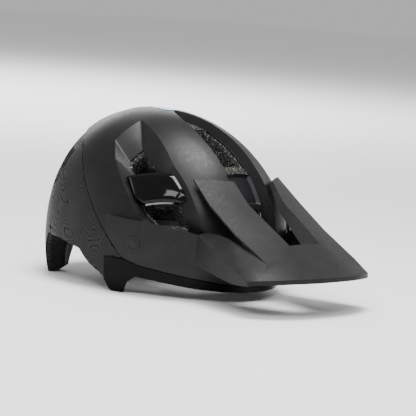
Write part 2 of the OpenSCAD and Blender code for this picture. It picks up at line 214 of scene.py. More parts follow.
def stepped(loops: Sequence[Sequence[Pair]], step: float) -> list[Loop]:
    """Splits matched closed outlines alike.

    Args:
        loops: outlines with the same number of corners.
        step: no side is longer than this many degrees.

    Returns:
        The outlines, still matched point by point.
    """
    n = len(loops[0])
    out: list[Loop] = [[] for _ in loops]
    for i in range(n):
        ends = [(np.array(lp[i]), np.array(lp[(i + 1) % n])) for lp in loops]
        k = max(1, math.ceil(max(np.linalg.norm(b - a) for a, b in ends) / step))
        for lp, (a, b) in zip(out, ends):
            lp += [tuple(a + (b - a) * j / k) for j in range(k)]
    return out


def inside(q: np.ndarray, loop: Sequence[Pair]) -> np.ndarray:
    """Tells which points lie inside an outline.

    Args:
        q: plan points.
        loop: closed plan outline.

    Returns:
        One truth value for each point.
    """
    hit = np.zeros(len(q), bool)
    x, y = q[:, 0], q[:, 1]
    for (x0, y0), (x1, y1) in zip(loop, list(loop[1:]) + [loop[0]]):
        cross = (y0 > y) != (y1 > y)
        with np.errstate(divide="ignore", invalid="ignore"):
            hit ^= cross & (x < (x1 - x0) * (y - y0) / (y1 - y0) + x0)
    return hit


# ---------------------------------------------------------------- mesh workshop


class Mesher:
    """Collects surfaces in millimetres and welds them into one mesh."""

    weld = 2e-5
    sliver = 1e-6
    row_pitch = 0.87
    clear_of_edge = 0.6

    def __init__(self) -> None:
        """Starts with nothing collected."""
        self.verts: list[Sequence[float]] = []
        self.faces: list[tuple[int, ...]] = []
        self.slots: list[int] = []
        self.slot = 0

    def add(self, verts: Iterable[Sequence[float]], faces: Iterable[Sequence[int]]) -> None:
        """Adds a surface.

        Args:
            verts: points in millimetres.
            faces: corner numbers counted within verts.
        """
        base = len(self.verts)
        self.verts += [tuple(float(c) for c in v) for v in verts]
        for f in faces:
            self.faces.append(tuple(base + i for i in f))
            self.slots.append(self.slot)

    def fill(self, outline: Loop, holes: Sequence[Loop], place: Callable[[Loop], np.ndarray],
             step: float = 2.2, other: Callable[[np.ndarray], bool] | None = None) -> None:
        """Covers the plan area inside outline and outside holes with triangles.

        Args:
            outline: closed plan outline.
            holes: closed plan outlines of the openings.
            place: puts plan points into space.
            step: spacing of the inner points in degrees.
            other: tells by a face's middle whether it takes the next material slot.
        """
        loops = [outline, *holes]
        pts = [q for lp in loops for q in lp]
        edges, base = [], 0
        for lp in loops:
            edges += [(base + i, base + (i + 1) % len(lp)) for i in range(len(lp))]
            base += len(lp)
        arr = np.array(outline)
        (u0, v0), (u1, v1) = arr.min(0), arr.max(0)
        grid = np.array([(u + (step / 2 if j % 2 else 0), v)
                         for j, v in enumerate(np.arange(v0, v1, step * self.row_pitch))
                         for u in np.arange(u0, u1, step)])
        keep = inside(grid, outline)
        for h in holes:
            keep &= ~inside(grid, h)
        near = np.array(pts)
        for i in np.where(keep)[0]:
            if np.min(np.sum((near - grid[i]) ** 2, 1)) < (self.clear_of_edge * step) ** 2:
                keep[i] = False
        pts += [tuple(q) for q in grid[keep]]
        out = delaunay_2d_cdt([Vector(q) for q in pts], edges, [], 0, 1e-5)
        flat = [(q.x, q.y) for q in out[0]]
        mid = np.array([np.mean([flat[i] for i in f], 0) for f in out[2]])
        ok = inside(mid, outline)
        for h in holes:
            ok &= ~inside(mid, h)
        first = len(self.slots)
        self.add(place(flat), [tuple(f) for f, k in zip(out[2], ok) if k])
        if other:
            for i, q in enumerate(mid[ok]):
                self.slots[first + i] += int(other(q))

    def rows(self, rows: Sequence[Sequence[Sequence[float]]], closed: bool = False) -> None:
        """Joins rows of points with quads.

        Args:
            rows: rows with the same number of points.
            closed: whether each row runs round to its first point.
        """
        n = len(rows[0])
        verts = [q for row in rows for q in row]
        faces = []
        for j in range(len(rows) - 1):
            for i in range(n if closed else n - 1):
                k = (i + 1) % n
                faces.append((j * n + i, j * n + k, (j + 1) * n + k, (j + 1) * n + i))
        self.add(verts, faces)

    def loft(self, a: Sequence[Sequence[float]], b: Sequence[Sequence[float]], parts: int = 3,
             closed: bool = True) -> None:
        """Adds a straight-sided wall between two matched rows.

        Args:
            a: first row.
            b: last row.
            parts: number of quads across.
            closed: whether the rows run round.
        """
        a, b = np.asarray(a, float), np.asarray(b, float)
        self.rows([a + (b - a) * t / parts for t in range(parts + 1)], closed)

    def mirror(self) -> None:
        """Adds the same surface on the helmet's other side."""
        base = len(self.verts)
        self.verts += [(-x, y, z) for x, y, z in self.verts]
        self.faces += [tuple(base + i for i in reversed(f)) for f in self.faces[:]]
        self.slots += self.slots[:]

    def mesh(self, name: str, outward: bool = True) -> bpy.types.Mesh:
        """Welds the surfaces, keeping every point on or above the table.

        Args:
            name: name of the mesh.
            outward: turns an open skin's faces away from the middle of the dome.

        Returns:
            The mesh in metres.
        """
        bm = bmesh.new()
        vs = [bm.verts.new((x * MM, y * MM, max(0.0, z) * MM)) for x, y, z in self.verts]
        made = set()
        for f, s in zip(self.faces, self.slots):
            corners = frozenset(f)
            if len(corners) == len(f) and corners not in made:
                made.add(corners)
                face = bm.faces.new([vs[i] for i in f])
                face.material_index = s
                face.smooth = True
        bmesh.ops.remove_doubles(bm, verts=bm.verts, dist=self.weld)
        bmesh.ops.dissolve_degenerate(bm, edges=bm.edges, dist=self.sliver)
        loose = [v for v in bm.verts if not v.link_faces]
        bmesh.ops.delete(bm, geom=loose, context="VERTS")
        bmesh.ops.recalc_face_normals(bm, faces=bm.faces)
        if outward and outward_score(bm) < 0:
            bmesh.ops.reverse_faces(bm, faces=bm.faces)
        mesh = bpy.data.meshes.new(name)
        bm.to_mesh(mesh)
        bm.free()
        return mesh


def outward_score(bm: bmesh.types.BMesh) -> float:
    """Tells which way most of a surface faces.

    Args:
        bm: the surface in metres.

    Returns:
        A positive number when most of the area faces away from the dome's middle.
    """
    c = Vector((0, DOME_Y * MM, BASE_Z * MM))
    return sum(f.calc_area() * f.normal.dot((f.calc_center_median() - c).normalized())
               for f in bm.faces)


def piece(name: str, mesh: bpy.types.Mesh, *finishes: "Finish", thick: float = 0.0,
          bevel: float = 0.0, angle: float = 22.0, offset: float = -1.0,
          segments: int = 3) -> bpy.types.Object:
    """Makes an object of a mesh, thickens it and rounds its edges.

    Args:
        name: name of the piece in a maker's words.
        mesh: its surface in metres.
        finishes: one finish for each material slot.
        thick: wall thickness in millimetres.
        bevel: width of the rounded edges in millimetres.
        angle: edges sharper than this many degrees are rounded.
        offset: -1 thickens inwards, 0 both ways.
        segments: segments of each rounded edge.

    Returns:
        The object with its modifiers applied.
    """
    obj = bpy.data.objects.new(name.replace(" ", "_"), mesh)
    bpy.context.scene.collection.objects.link(obj)
    for f in finishes:
        mesh.materials.append(f.material())
    if thick:
        m = obj.modifiers.new("thickness", "SOLIDIFY")
        m.thickness, m.offset, m.use_even_offset = thick * MM, offset, True
        m.thickness_clamp = 1.0
    if bevel:
        m = obj.modifiers.new("rounded edges", "BEVEL")
        m.width, m.segments, m.limit_method = bevel * MM, segments, "ANGLE"
        m.angle_limit, m.use_clamp_overlap = math.radians(angle), True
        m.harden_normals = False
    m = obj.modifiers.new("even shading", "WEIGHTED_NORMAL")
    m.keep_sharp, m.weight = True, 50
    bake(obj)
    LOG.info("%s: %d faces", name, len(obj.data.polygons))
    return obj


def bake(obj: bpy.types.Object) -> None:
    """Applies every modifier of an object.

    Args:
        obj: the object, which keeps its name and place.
    """
    graph = bpy.context.evaluated_depsgraph_get()
    done = bpy.data.meshes.new_from_object(obj.evaluated_get(graph), depsgraph=graph)
    obj.modifiers.clear()
    old, obj.data = obj.data, done
    if old.users == 0:
        bpy.data.meshes.remove(old)


# ---------------------------------------------------------------- finishes


class Nodes:
    """Short helper around a material's node tree."""

    def __init__(self, name: str) -> None:
        """Starts a material with one shader and object coordinates.

        Args:
            name: name of the material.
        """
        self.mat = bpy.data.materials.new(name)
        self.mat.use_nodes = True
        self.tree = self.mat.node_tree
        self.shader = self.tree.nodes["Principled BSDF"]
        self.coords = self.tree.nodes.new("ShaderNodeTexCoord").outputs["Object"]

    def node(self, kind: str, values: dict | None = None, **props: object) -> bpy.types.Node:
        """Adds a node.

        Args:
            kind: the node's type, without its common prefix.
            values: what each input is set or linked to.
            props: the node's own settings.

        Returns:
            The node.
        """
        n = self.tree.nodes.new("ShaderNode" + kind)
        for k, v in props.items():
            setattr(n, k, v)
        for k, v in (values or {}).items():
            if isinstance(v, bpy.types.NodeSocket):
                self.tree.links.new(v, n.inputs[k])
            else:
                n.inputs[k].default_value = v
        return n

    def noise(self, scale: float, detail: float = 2.0, rough: float = 0.5) -> bpy.types.NodeSocket:
        """Adds noise in object coordinates.

        Args:
            scale: repeats per metre.
            detail: levels of finer noise.
            rough: weight of the finer levels.

        Returns:
            The noise, from 0 to 1.
        """
        return self.node("TexNoise", {"Vector": self.coords, "Scale": scale,
                                      "Detail": detail, "Roughness": rough}).outputs["Fac"]

    def math(self, kind: str, a: object, b: object = 0.0) -> bpy.types.NodeSocket:
        """One arithmetic step."""
        return self.node("Math", {0: a, 1: b}, operation=kind).outputs[0]

    def wave(self, scale: float, direction: str, distortion: float = 0.0) -> bpy.types.NodeSocket:
        """Even bands in object coordinates."""
        return self.node("TexWave", {"Vector": self.coords, "Scale": scale, "Distortion": distortion},
                         bands_direction=direction).outputs["Fac"]

    def span(self, value: bpy.types.NodeSocket, lo: float, hi: float,
             out: Pair = (0.0, 1.0)) -> bpy.types.NodeSocket:
        """Smoothly maps a span of a value onto another.

        Args:
            value: what is mapped.
            lo: start of the span.
            hi: end of the span.
            out: what the start and the end become.

        Returns:
            The mapped value.
        """
        n = self.node("MapRange", {"Value": value, "From Min": lo, "From Max": hi,
                                   "To Min": out[0], "To Max": out[1]},
                      interpolation_type="SMOOTHSTEP")
        return n.outputs[0]

    def blend(self, fac: object, a: Sequence[float], b: Sequence[float]) -> bpy.types.NodeSocket:
        """Mixes two colours.

        Args:
            fac: 0 for the first colour, 1 for the second.
            a: first colour.
            b: second colour.

        Returns:
            The mixed colour.
        """
        n = self.node("Mix", {"Factor": fac}, data_type="RGBA")
        n.inputs[6].default_value = (*a, 1)
        n.inputs[7].default_value = (*b, 1)
        return n.outputs[2]

    def bump(self, height: bpy.types.NodeSocket, strength: float, distance: float) -> None:
        """Adds relief; distance in metres."""
        n = self.node("Bump", {"Height": height, "Strength": strength, "Distance": distance})
        self.put("Normal", n.outputs[0])

    def put(self, socket: str, value: object) -> None:
        """Sets or links a socket of the shader.

        Args:
            socket: name of the shader's input.
            value: a value to set, or an output to link.
        """
        if isinstance(value, bpy.types.NodeSocket):
            self.tree.links.new(value, self.shader.inputs[socket])
        else:
            self.shader.inputs[socket].default_value = value


@dataclass(frozen=True)
class Finish:
    """Base of every finish: a name, a colour and a roughness."""

    name: str
    colour: tuple[float, float, float] = (0.02, 0.02, 0.022)
    rough: float = 0.45

    def material(self) -> bpy.types.Material:
        """Returns the finish's material, made once."""
        have = bpy.data.materials.get(self.name)
        if have:
            return have
        n = Nodes(self.name)
        n.put("Roughness", self.rough)
        self.dress(n)
        return n.mat

    def dress(self, n: Nodes) -> None:
        """Builds the surface pattern.

        Args:
            n: the material being built.
        """
        tone = n.noise(90, 4)
        n.put("Base Color", n.blend(n.span(tone, 0.35, 0.65), self.colour,
                                    tuple(c * 1.25 for c in self.colour)))
        n.put("Roughness", n.span(n.noise(300, 3), 0.3, 0.7, (self.rough - 0.04, self.rough + 0.05)))


@dataclass(frozen=True)
class Moulding(Finish):
    """Matt moulded plastic with a fine grain."""

    grain: float = 1600.0
    relief: float = 0.12
    gloss: float = 0.5

    def dress(self, n: Nodes) -> None:
        """Adds sheen and grain to the base pattern.

        Args:
            n: the material being built.
        """
        super().dress(n)
        n.put("Specular IOR Level", self.gloss)
        n.bump(n.noise(self.grain, 2, 0.6), self.relief, 0.0002)


@dataclass(frozen=True)
class ContourMoulding(Finish):
    """Matt plastic with fine raised contour lines, as on a map."""

    scale: float = 17.0
    lines: float = 40.0

    def dress(self, n: Nodes) -> None:
        """Draws lines of equal height of a slow noise.

        Args:
            n: the material being built.
        """
        wave = n.math("FRACT", n.math("MULTIPLY", n.noise(self.scale, 1.6, 0.5), self.lines))
        ridge = n.math("ABSOLUTE", n.math("SUBTRACT", wave, 0.5))
        line = n.math("MULTIPLY", n.span(ridge, 0.05, 0.13, (1.0, 0.0)),
                      n.span(n.noise(24, 1), 0.3, 0.46))
        n.put("Specular IOR Level", 0.2)
        n.put("Base Color", n.blend(line, self.colour, tuple(c * 0.25 for c in self.colour)))
        n.put("Roughness", n.span(line, 0.0, 1.0, (self.rough, 0.85)))
        n.bump(n.math("ADD", n.math("MULTIPLY", line, -1.0), n.noise(1400, 2)), 0.5, 0.0004)


@dataclass(frozen=True)
class BeadFoam(Finish):
    """Moulded bead foam: round cells with pale seams and pits."""

    bead: float = 420.0
    seam_colour: tuple[float, float, float] = (0.24, 0.225, 0.2)

    def dress(self, n: Nodes) -> None:
        """Round beads, with pale specks along some of their seams.

        Args:
            n: the material being built.
        """
        where = {"Vector": n.coords, "Scale": self.bead}
        edge = n.node("TexVoronoi", where, feature="DISTANCE_TO_EDGE").outputs["Distance"]
        cell = n.node("TexVoronoi", where).outputs
        seam = n.span(edge, 0.02, 0.12, (1.0, 0.0))
        speck = n.math("MULTIPLY", seam, n.span(n.noise(700, 2), 0.5, 0.62))
        n.put("Specular IOR Level", 0.25)
        n.put("Base Color", n.blend(speck, self.colour, self.seam_colour))
        n.put("Roughness", n.span(cell["Distance"], 0.0, 0.6, (self.rough, self.rough + 0.15)))
        n.bump(n.span(edge, 0.0, 0.3), 0.5, 0.0005)


@dataclass(frozen=True)
class Fabric(Finish):
    """A brushed or knitted pad fabric."""

    thread: float = 1100.0

    def dress(self, n: Nodes) -> None:
        """Crossed threads under a soft nap.

        Args:
            n: the material being built.
        """
        a, b = (n.wave(self.thread / 3, direction, 1.2) for direction in ("X", "Z"))
        knit = n.math("MULTIPLY", a, b)
        n.put("Base Color", n.blend(n.span(knit, 0.05, 0.7), self.colour,
                                    tuple(min(1, c * 1.8) for c in self.colour)))
        n.put("Sheen Weight", 0.35)
        n.put("Sheen Roughness", 0.5)
        n.bump(n.math("ADD", knit, n.noise(900, 3)), 0.35, 0.0004)


@dataclass(frozen=True)
class Webbing(Finish):
    """Woven strap: a twill of slanted ribs."""

    rib: float = 420.0

    def dress(self, n: Nodes) -> None:
        """Slanted ribs crossed by a coarser weft.

        Args:
            n: the material being built.
        """
        one = n.wave(self.rib, "DIAGONAL", 0.3)
        two = n.wave(self.rib * 0.6, "Z")
        weave = n.math("MULTIPLY", one, n.math("ADD", n.math("MULTIPLY", two, 0.5), 0.5))
        n.put("Base Color", n.blend(weave, self.colour, tuple(c * 2.6 for c in self.colour)))
        n.bump(weave, 0.6, 0.0004)


@dataclass(frozen=True)
class PrintedDecal(Finish):
    """A small printed patch with a plain two-tone band."""

    band: tuple[float, float, float] = (0.75, 0.82, 0.86)

    def dress(self, n: Nodes) -> None:
        """Wide slanted bands of the two tones."""
        wave = n.wave(45.0, "DIAGONAL", 0.6)
        n.put("Base Color", n.blend(n.span(wave, 0.55, 0.62), self.colour, self.band))


SHELL = Moulding("matt front shell", (0.005, 0.005, 0.0056), 0.39, gloss=0.22)
CHANNEL = Moulding("satin channel floor", (0.006, 0.006, 0.0075), 0.4, gloss=0.16)
REAR = ContourMoulding("contour rear shell", (0.008, 0.008, 0.0087), 0.44)
GLOSS = Moulding("gloss lower wrap", (0.0015, 0.0015, 0.0018), 0.06, grain=500, relief=0.01, gloss=0.07)
VISOR = Moulding("grained visor", (0.011, 0.011, 0.0116), 0.47, grain=1500, relief=0.35, gloss=0.155)
BRIDGE_GLOSS = Moulding("gloss vent bridge", (0.001, 0.001, 0.0012), 0.05, grain=500, relief=0.01,
                        gloss=0.22)
TRIM = Moulding("satin trim plastic", (0.01, 0.01, 0.0108), 0.34, grain=2200, gloss=0.3)
FOAM = BeadFoam("bead foam", (0.007, 0.007, 0.007), 0.55)
RIM_SKIN = Moulding("satin rim skin", (0.004, 0.004, 0.0045), 0.3, gloss=0.2)
PAD = Fabric("pad fabric", (0.055, 0.055, 0.062), 0.85)
GEL = Moulding("damping gel", (0.25, 0.62, 0.8), 0.3, grain=700)
WEB = Webbing("strap webbing", (0.012, 0.012, 0.013), 0.7)
DECAL = PrintedDecal("printed decal", (0.3, 0.62, 0.78), 0.35)


# ---------------------------------------------------------------- shared edges of the shells

RIM = [(0, 103.5), (24, 103.5), (40, 103), (50, 102.8), (54, 106.5), (57, 114.5), (63, 114.5),
       (68, 107), (78, 102), (82, 99), (86, 95), (97, 93), (106, 91.5), (120, 91), (127, 98),
       (134, 109), (137, 116), (148, 116), (153, 108), (158, 96), (164, 88), (180, 87.5)]
SEAM = [(0, 100.7), (11, 100.5), (28.5, 99), (49, 97), (56.5, 95), (63.5, 88), (72.5, 78),
        (83, 65.5), (95.5, 52), (108, 42.5), (125, 36), (150, 32), (180, 31)]
WRAP_TOP = [(0, 100.95), (11, 100.75), (28.5, 99.25), (49, 97.25), (56, 95.6), (58, 95.6), (68, 95.6)]
WRAP_END = 67.5


@dataclass
class Openings:
    """Outlines of the vents on the left half, each matched at the surface and at its floor."""

    recess_out: Loop = field(default_factory=lambda: rounded(loop_of(
        (21.5, 65), (36, 79), (46.5, 71), (59.5, 61), (69.5, 53.5), (77, 48), (83, 40),
        (83.3, 22.5), (74.5, 25.5), (64, 28.5), (52, 34.5), (36, 42.5)), 0.9))
    recess_in: Loop = field(default_factory=lambda: rounded(loop_of(
        (37.5, 54.5), (44, 63), (49.5, 60.5), (57, 57.5), (66.5, 51.5), (74.5, 46), (80.5, 39.5),
        (81.3, 27.5), (75, 29.5), (65.5, 32.5), (56, 37.8), (45.5, 48)), 0.7))
    crown: Loop = field(default_factory=lambda: rounded(loop_of(
        (13, 125), (28, 138), (27, 160), (14, 165)), 1.5))
    rear: Loop = field(default_factory=lambda: rounded(loop_of(
        (44, 118), (62, 121), (69, 132), (56, 141), (45, 134)), 1.8))
    exhaust: Loop = field(default_factory=lambda: rounded(loop_of(
        (46, 172), (61, 168), (65, 152), (50, 154)), 1.6))
    channel: Loop = field(default_factory=lambda: loop_of(
        (9, 0.01), (13.9, 13.9), (22.8, 16.4), (29.9, 15.1), (41.9, 12.9), (53.4, 10.8),
        (61.2, 10.4), (76, 9.5), (86, 8.8), (87, 0.01)))
    top: Loop = field(default_factory=lambda: rounded(loop_of(
        (27, 13), (54.5, 8.4), (54.5, -8.4), (27, -13)), 1.4))
    brow: Loop = field(default_factory=lambda: rounded(loop_of(
        (73, 6.5), (81, 5.4), (81, -5.4), (73, -6.5)), 1.2))
    panel: Loop = field(default_factory=lambda: rounded(loop_of(
        (57.5, 8.6), (71, 7.0), (71, -7.0), (57.5, -8.6)), 1.0))


@dataclass
class Shells:
    """The three skins over the foam: front shell, rear shell and lower wrap."""

    openings: Openings
    thickness: float = 1.6
    step: float = 2.0
    channel_depth: float = 9.0
    panel_depth: float = 3.2
    flange_depth: float = 11.0
    crown_depth: float = 8.0
    rear_depth: float = 9.0
    crown_taper: float = 0.84
    rear_taper: float = 0.86
    rear_inset: float = 1.3
    seam_gap: float = 1.1
    wrap_inset: float = 0.1
    wrap_return: float = 13.0
    patch_height: float = 0.45
    foam_sill: float = 28.5
    foam_step: float = 55.6

    def channel_loop(self, inset: float = 0.0) -> Loop:
        """Closed outline of the brow channel.

        Args:
            inset: how far it is drawn in, in degrees.

        Returns:
            The outline of both sides together.
        """
        half = [(max(0.0, u - inset), v) for u, v in self.openings.channel]
        half[0] = (0.0, half[0][1] + inset * 1.3)
        half[-1] = (0.0, half[-1][1] - inset)
        half[-2] = (half[-2][0], half[-2][1] - inset)
        return half + [(-u, v) for u, v in half[-2:0:-1]]

    def front_outline(self) -> Loop:
        """Outer edge of the front shell."""
        side = arc_of(SEAM, 180, 0)
        return side + mirrored(side[-2:0:-1])

    def front_shell(self) -> bpy.types.Object:
        """Front shell with its vent flanges and the channel floor."""
        o, m = self.openings, Mesher()
        rec_out, rec_in = stepped([o.recess_out, o.recess_in], self.step)
        crown, crown_in = stepped([o.crown, shrunk(o.crown, self.crown_taper)], self.step)
        chan, floor = stepped([self.channel_loop(), self.channel_loop(1.5)], self.step)
        top, brow = (stepped([lp], self.step)[0] for lp in (o.top, o.brow))
        holes = [rec_out, mirrored(rec_out), crown, mirrored(crown), chan]
        m.fill(self.front_outline(), holes, OUTER.points, self.step)
        for lp, inner, depth in ((rec_out, rec_in, self.flange_depth), (crown, crown_in, self.crown_depth)):
            for side in (list, mirrored):
                m.loft(OUTER.points(side(lp)), OUTER.points(side(inner), -depth), 3)
        m.loft(OUTER.points(chan), OUTER.points(floor, -self.channel_depth), 3)
        m.slot = 1
        panel, sunk = stepped([o.panel, shrunk(o.panel, 0.86)], self.step)
        deep = -self.channel_depth - self.panel_depth
        m.fill(floor, [top, brow, panel], lambda q: OUTER.points(q, -self.channel_depth), self.step,
               other=self.bare_foam)
        m.loft(OUTER.points(panel, -self.channel_depth), OUTER.points(sunk, deep), 2)
        m.fill(sunk, [], lambda q: OUTER.points(q, deep), self.step)
        return piece("front shell skin", m.mesh("front shell"), SHELL, CHANNEL, FOAM,
                     thick=self.thickness, bevel=0.75, angle=24)

    def bare_foam(self, q: np.ndarray) -> bool:
        """Tells whether the foam shows at a plan point of the channel floor."""
        return q[1] < self.foam_sill or (abs(q[1] - self.foam_step) < 1.2 and abs(q[0]) < 7.5)

    def rear_shell(self) -> bpy.types.Object:
        """Rear shell from the seam down to the rim."""
        o, m = self.openings, Mesher()
        g = self.seam_gap
        low = [(a, edge_at(WRAP_TOP, a) if a < WRAP_END else edge_at(RIM, a)) for a in
               (56, 57, 60, 63, WRAP_END, WRAP_END + 0.4, 70, 74, 78, 82, 86, 97, 106, 120, 123.5,
                127, 130, 134, 137, 142, 148, 150, 153, 156, 158, 161, 164, 172, 180)]
        side = [polar(edge_at(SEAM, a) + g, a) for a in np.arange(180, 56.5, -2.0)]
        side += [polar(edge_at(SEAM, 57) + g, 57)]
        under = [polar(p - 0.35, a) for a, p in low[1:]]
        right = side + under
        loop = right[:-1] + [under[-1]] + mirrored(right[:-1])[::-1]
        loop = [q for i, q in enumerate(loop) if i == 0 or math.dist(q, loop[i - 1]) > 0.05]
        if math.dist(loop[0], loop[-1]) < 0.05:
            loop.pop()
        loop = stepped([loop], self.step)[0]
        holes = []
        for lp, k in ((o.rear, self.rear_taper), (o.exhaust, self.crown_taper)):
            lp, inner = stepped([lp, shrunk(lp, k)], self.step)
            for turn in (list, mirrored):
                holes.append(turn(lp))
                m.loft(OUTER.points(turn(lp), -self.rear_inset),
                       OUTER.points(turn(inner), -self.rear_depth), 3)
        m.fill(loop, holes, lambda q: OUTER.points(q, -self.rear_inset), self.step)
        m.slot = 1
        return piece("rear shell skin", m.mesh("rear shell"), REAR, SHELL, thick=self.thickness,
                     bevel=0.7, angle=24)

    def decal(self) -> bpy.types.Object:
        """Small printed patch on the crown."""
        m = Mesher()
        outline = rounded([(-3.3, 9.6), (3.3, 9.6), (3.7, -0.8), (-3.7, -0.8)], 1.0)
        m.fill(stepped([outline], 1.0)[0], [], lambda q: OUTER.points(q, self.patch_height), 1.2)
        return piece("crown patch", m.mesh("crown decal"), DECAL, thick=0.3)

    def lower_wrap(self) -> bpy.types.Object:
        """Gloss strip along the brow with the two temple drops."""
        m = Mesher()
        span = np.concatenate([np.arange(-WRAP_END, WRAP_END, 1.5), [WRAP_END]])
        rows = []
        for t in (0.0, 0.12, 0.3, 0.5, 0.7, 0.88, 1.0):
            plan = []
            for a in span:
                hi = edge_at(WRAP_TOP, a) + 0.1
                lo = edge_at(RIM, a)
                plan.append(polar(hi + (lo - hi) * t, a))
            rows.append(OUTER.points(plan, -self.wrap_inset))
        m.rows(rows)
        inner = OUTER.points([polar(edge_at(RIM, a) - 0.9, a) for a in span],
                             -self.wrap_return)
        m.loft(rows[-1], inner, 3, closed=False)
        return piece("brow wrap", m.mesh("lower wrap"), GLOSS, thick=1.4, bevel=0.7, angle=30)


@dataclass
class Liner:
    """Bead-foam liner with its cavity, vent walls and rim."""

    openings: Openings
    shells: Shells
    step: float = 2.4
    skin_gap: float = 3.2
    lip: float = 1.4
    lip_drop: float = 2.2

    def build(self) -> bpy.types.Object:
        """The liner as one skin: outside under the shells, vent walls, rim and cavity."""
        o, m = self.openings, Mesher()
        rim_out = arc_of(RIM, 180, 0)
        rim_out = rim_out + mirrored(rim_out[-2:0:-1])
        rim_in = [(u * 0.985, v * 0.985) for u, v in rim_out]
        outline_out, outline_in = stepped([rim_out, rim_in], self.step)
        walls = []
        sh = self.shells
        for lp, depth in ((o.recess_in, sh.flange_depth),
                          (shrunk(o.crown, sh.crown_taper), sh.crown_depth),
                          (shrunk(o.rear, sh.rear_taper), sh.rear_depth),
                          (shrunk(o.exhaust, sh.crown_taper), sh.rear_depth)):
            walls += [(side(lp), depth) for side in (list, mirrored)]
        walls += [(lp, sh.channel_depth) for lp in (o.top, o.brow)]
        holes_in = []
        for lp, depth in walls:
            wide, edge, deep = stepped([shrunk(lp, 1.04), shrunk(lp, 0.91), shrunk(lp, 0.86)], self.step)
            m.loft(OUTER.points(wide, -depth - self.lip), OUTER.points(edge, -depth - self.lip_drop), 1)
            m.loft(OUTER.points(edge, -depth - self.lip_drop), INNER.points(deep), 4)
            holes_in.append(deep)
        holes_out = [stepped([lp], self.step)[0] for base in (o.recess_out, o.crown, o.rear, o.exhaust)
                     for lp in (base, mirrored(base))]
        holes_out.append(stepped([sh.channel_loop()], self.step)[0])
        m.slot = 1
        m.fill(outline_out, holes_out, lambda q: OUTER.points(q, -self.skin_gap), self.step)
        m.slot = 0
        m.fill(outline_in, holes_in, INNER.points, self.step)
        m.slot = 1
        m.loft(OUTER.points(outline_out, -self.skin_gap), INNER.points(outline_in), 4)
        return piece("foam liner", m.mesh("foam liner", outward=False), FOAM, RIM_SKIN)


class Side(Enum):
    """Side of the helmet, as its wearer has it."""

    LEFT = "left"
    RIGHT = "right"


@dataclass
class Bridge:
    """Gloss bar across a side recess, with a face that rolls over at its edges."""

    corners: Loop = field(default_factory=lambda: loop_of(
        (54.4, 61), (56.2, 32.6), (67.2, 27.8), (69.3, 31), (69.3, 48.5), (66, 54.5)))
    top: float = -2.4
    bottom: float = -13.6
    roll: float = 3.2
    flatness: int = 7

    def build(self, side: Side) -> bpy.types.Object:
        """One bridge.

        Args:
            side: which side of the helmet it is on.

        Returns:
            The piece.
        """
        m = Mesher()
        corners = mirrored(self.corners) if side is Side.RIGHT else self.corners
        edge = stepped([rounded(corners, 0.9)], 1.0)[0]
        rows = [OUTER.points(edge, self.bottom)]
        for k in (1.0, 0.99, 0.97, 0.94, 0.9, 0.84, 0.76, 0.65, 0.5, 0.3, 0.1):
            rows.append(OUTER.points(shrunk(edge, k), self.top - self.roll * k**self.flatness))
        m.rows(rows, closed=True)
        m.add(rows[-1], [range(len(edge))])
        m.add(rows[0], [range(len(edge))])
        return piece(f"side bridge {side.value}", m.mesh("bridge"), BRIDGE_GLOSS)


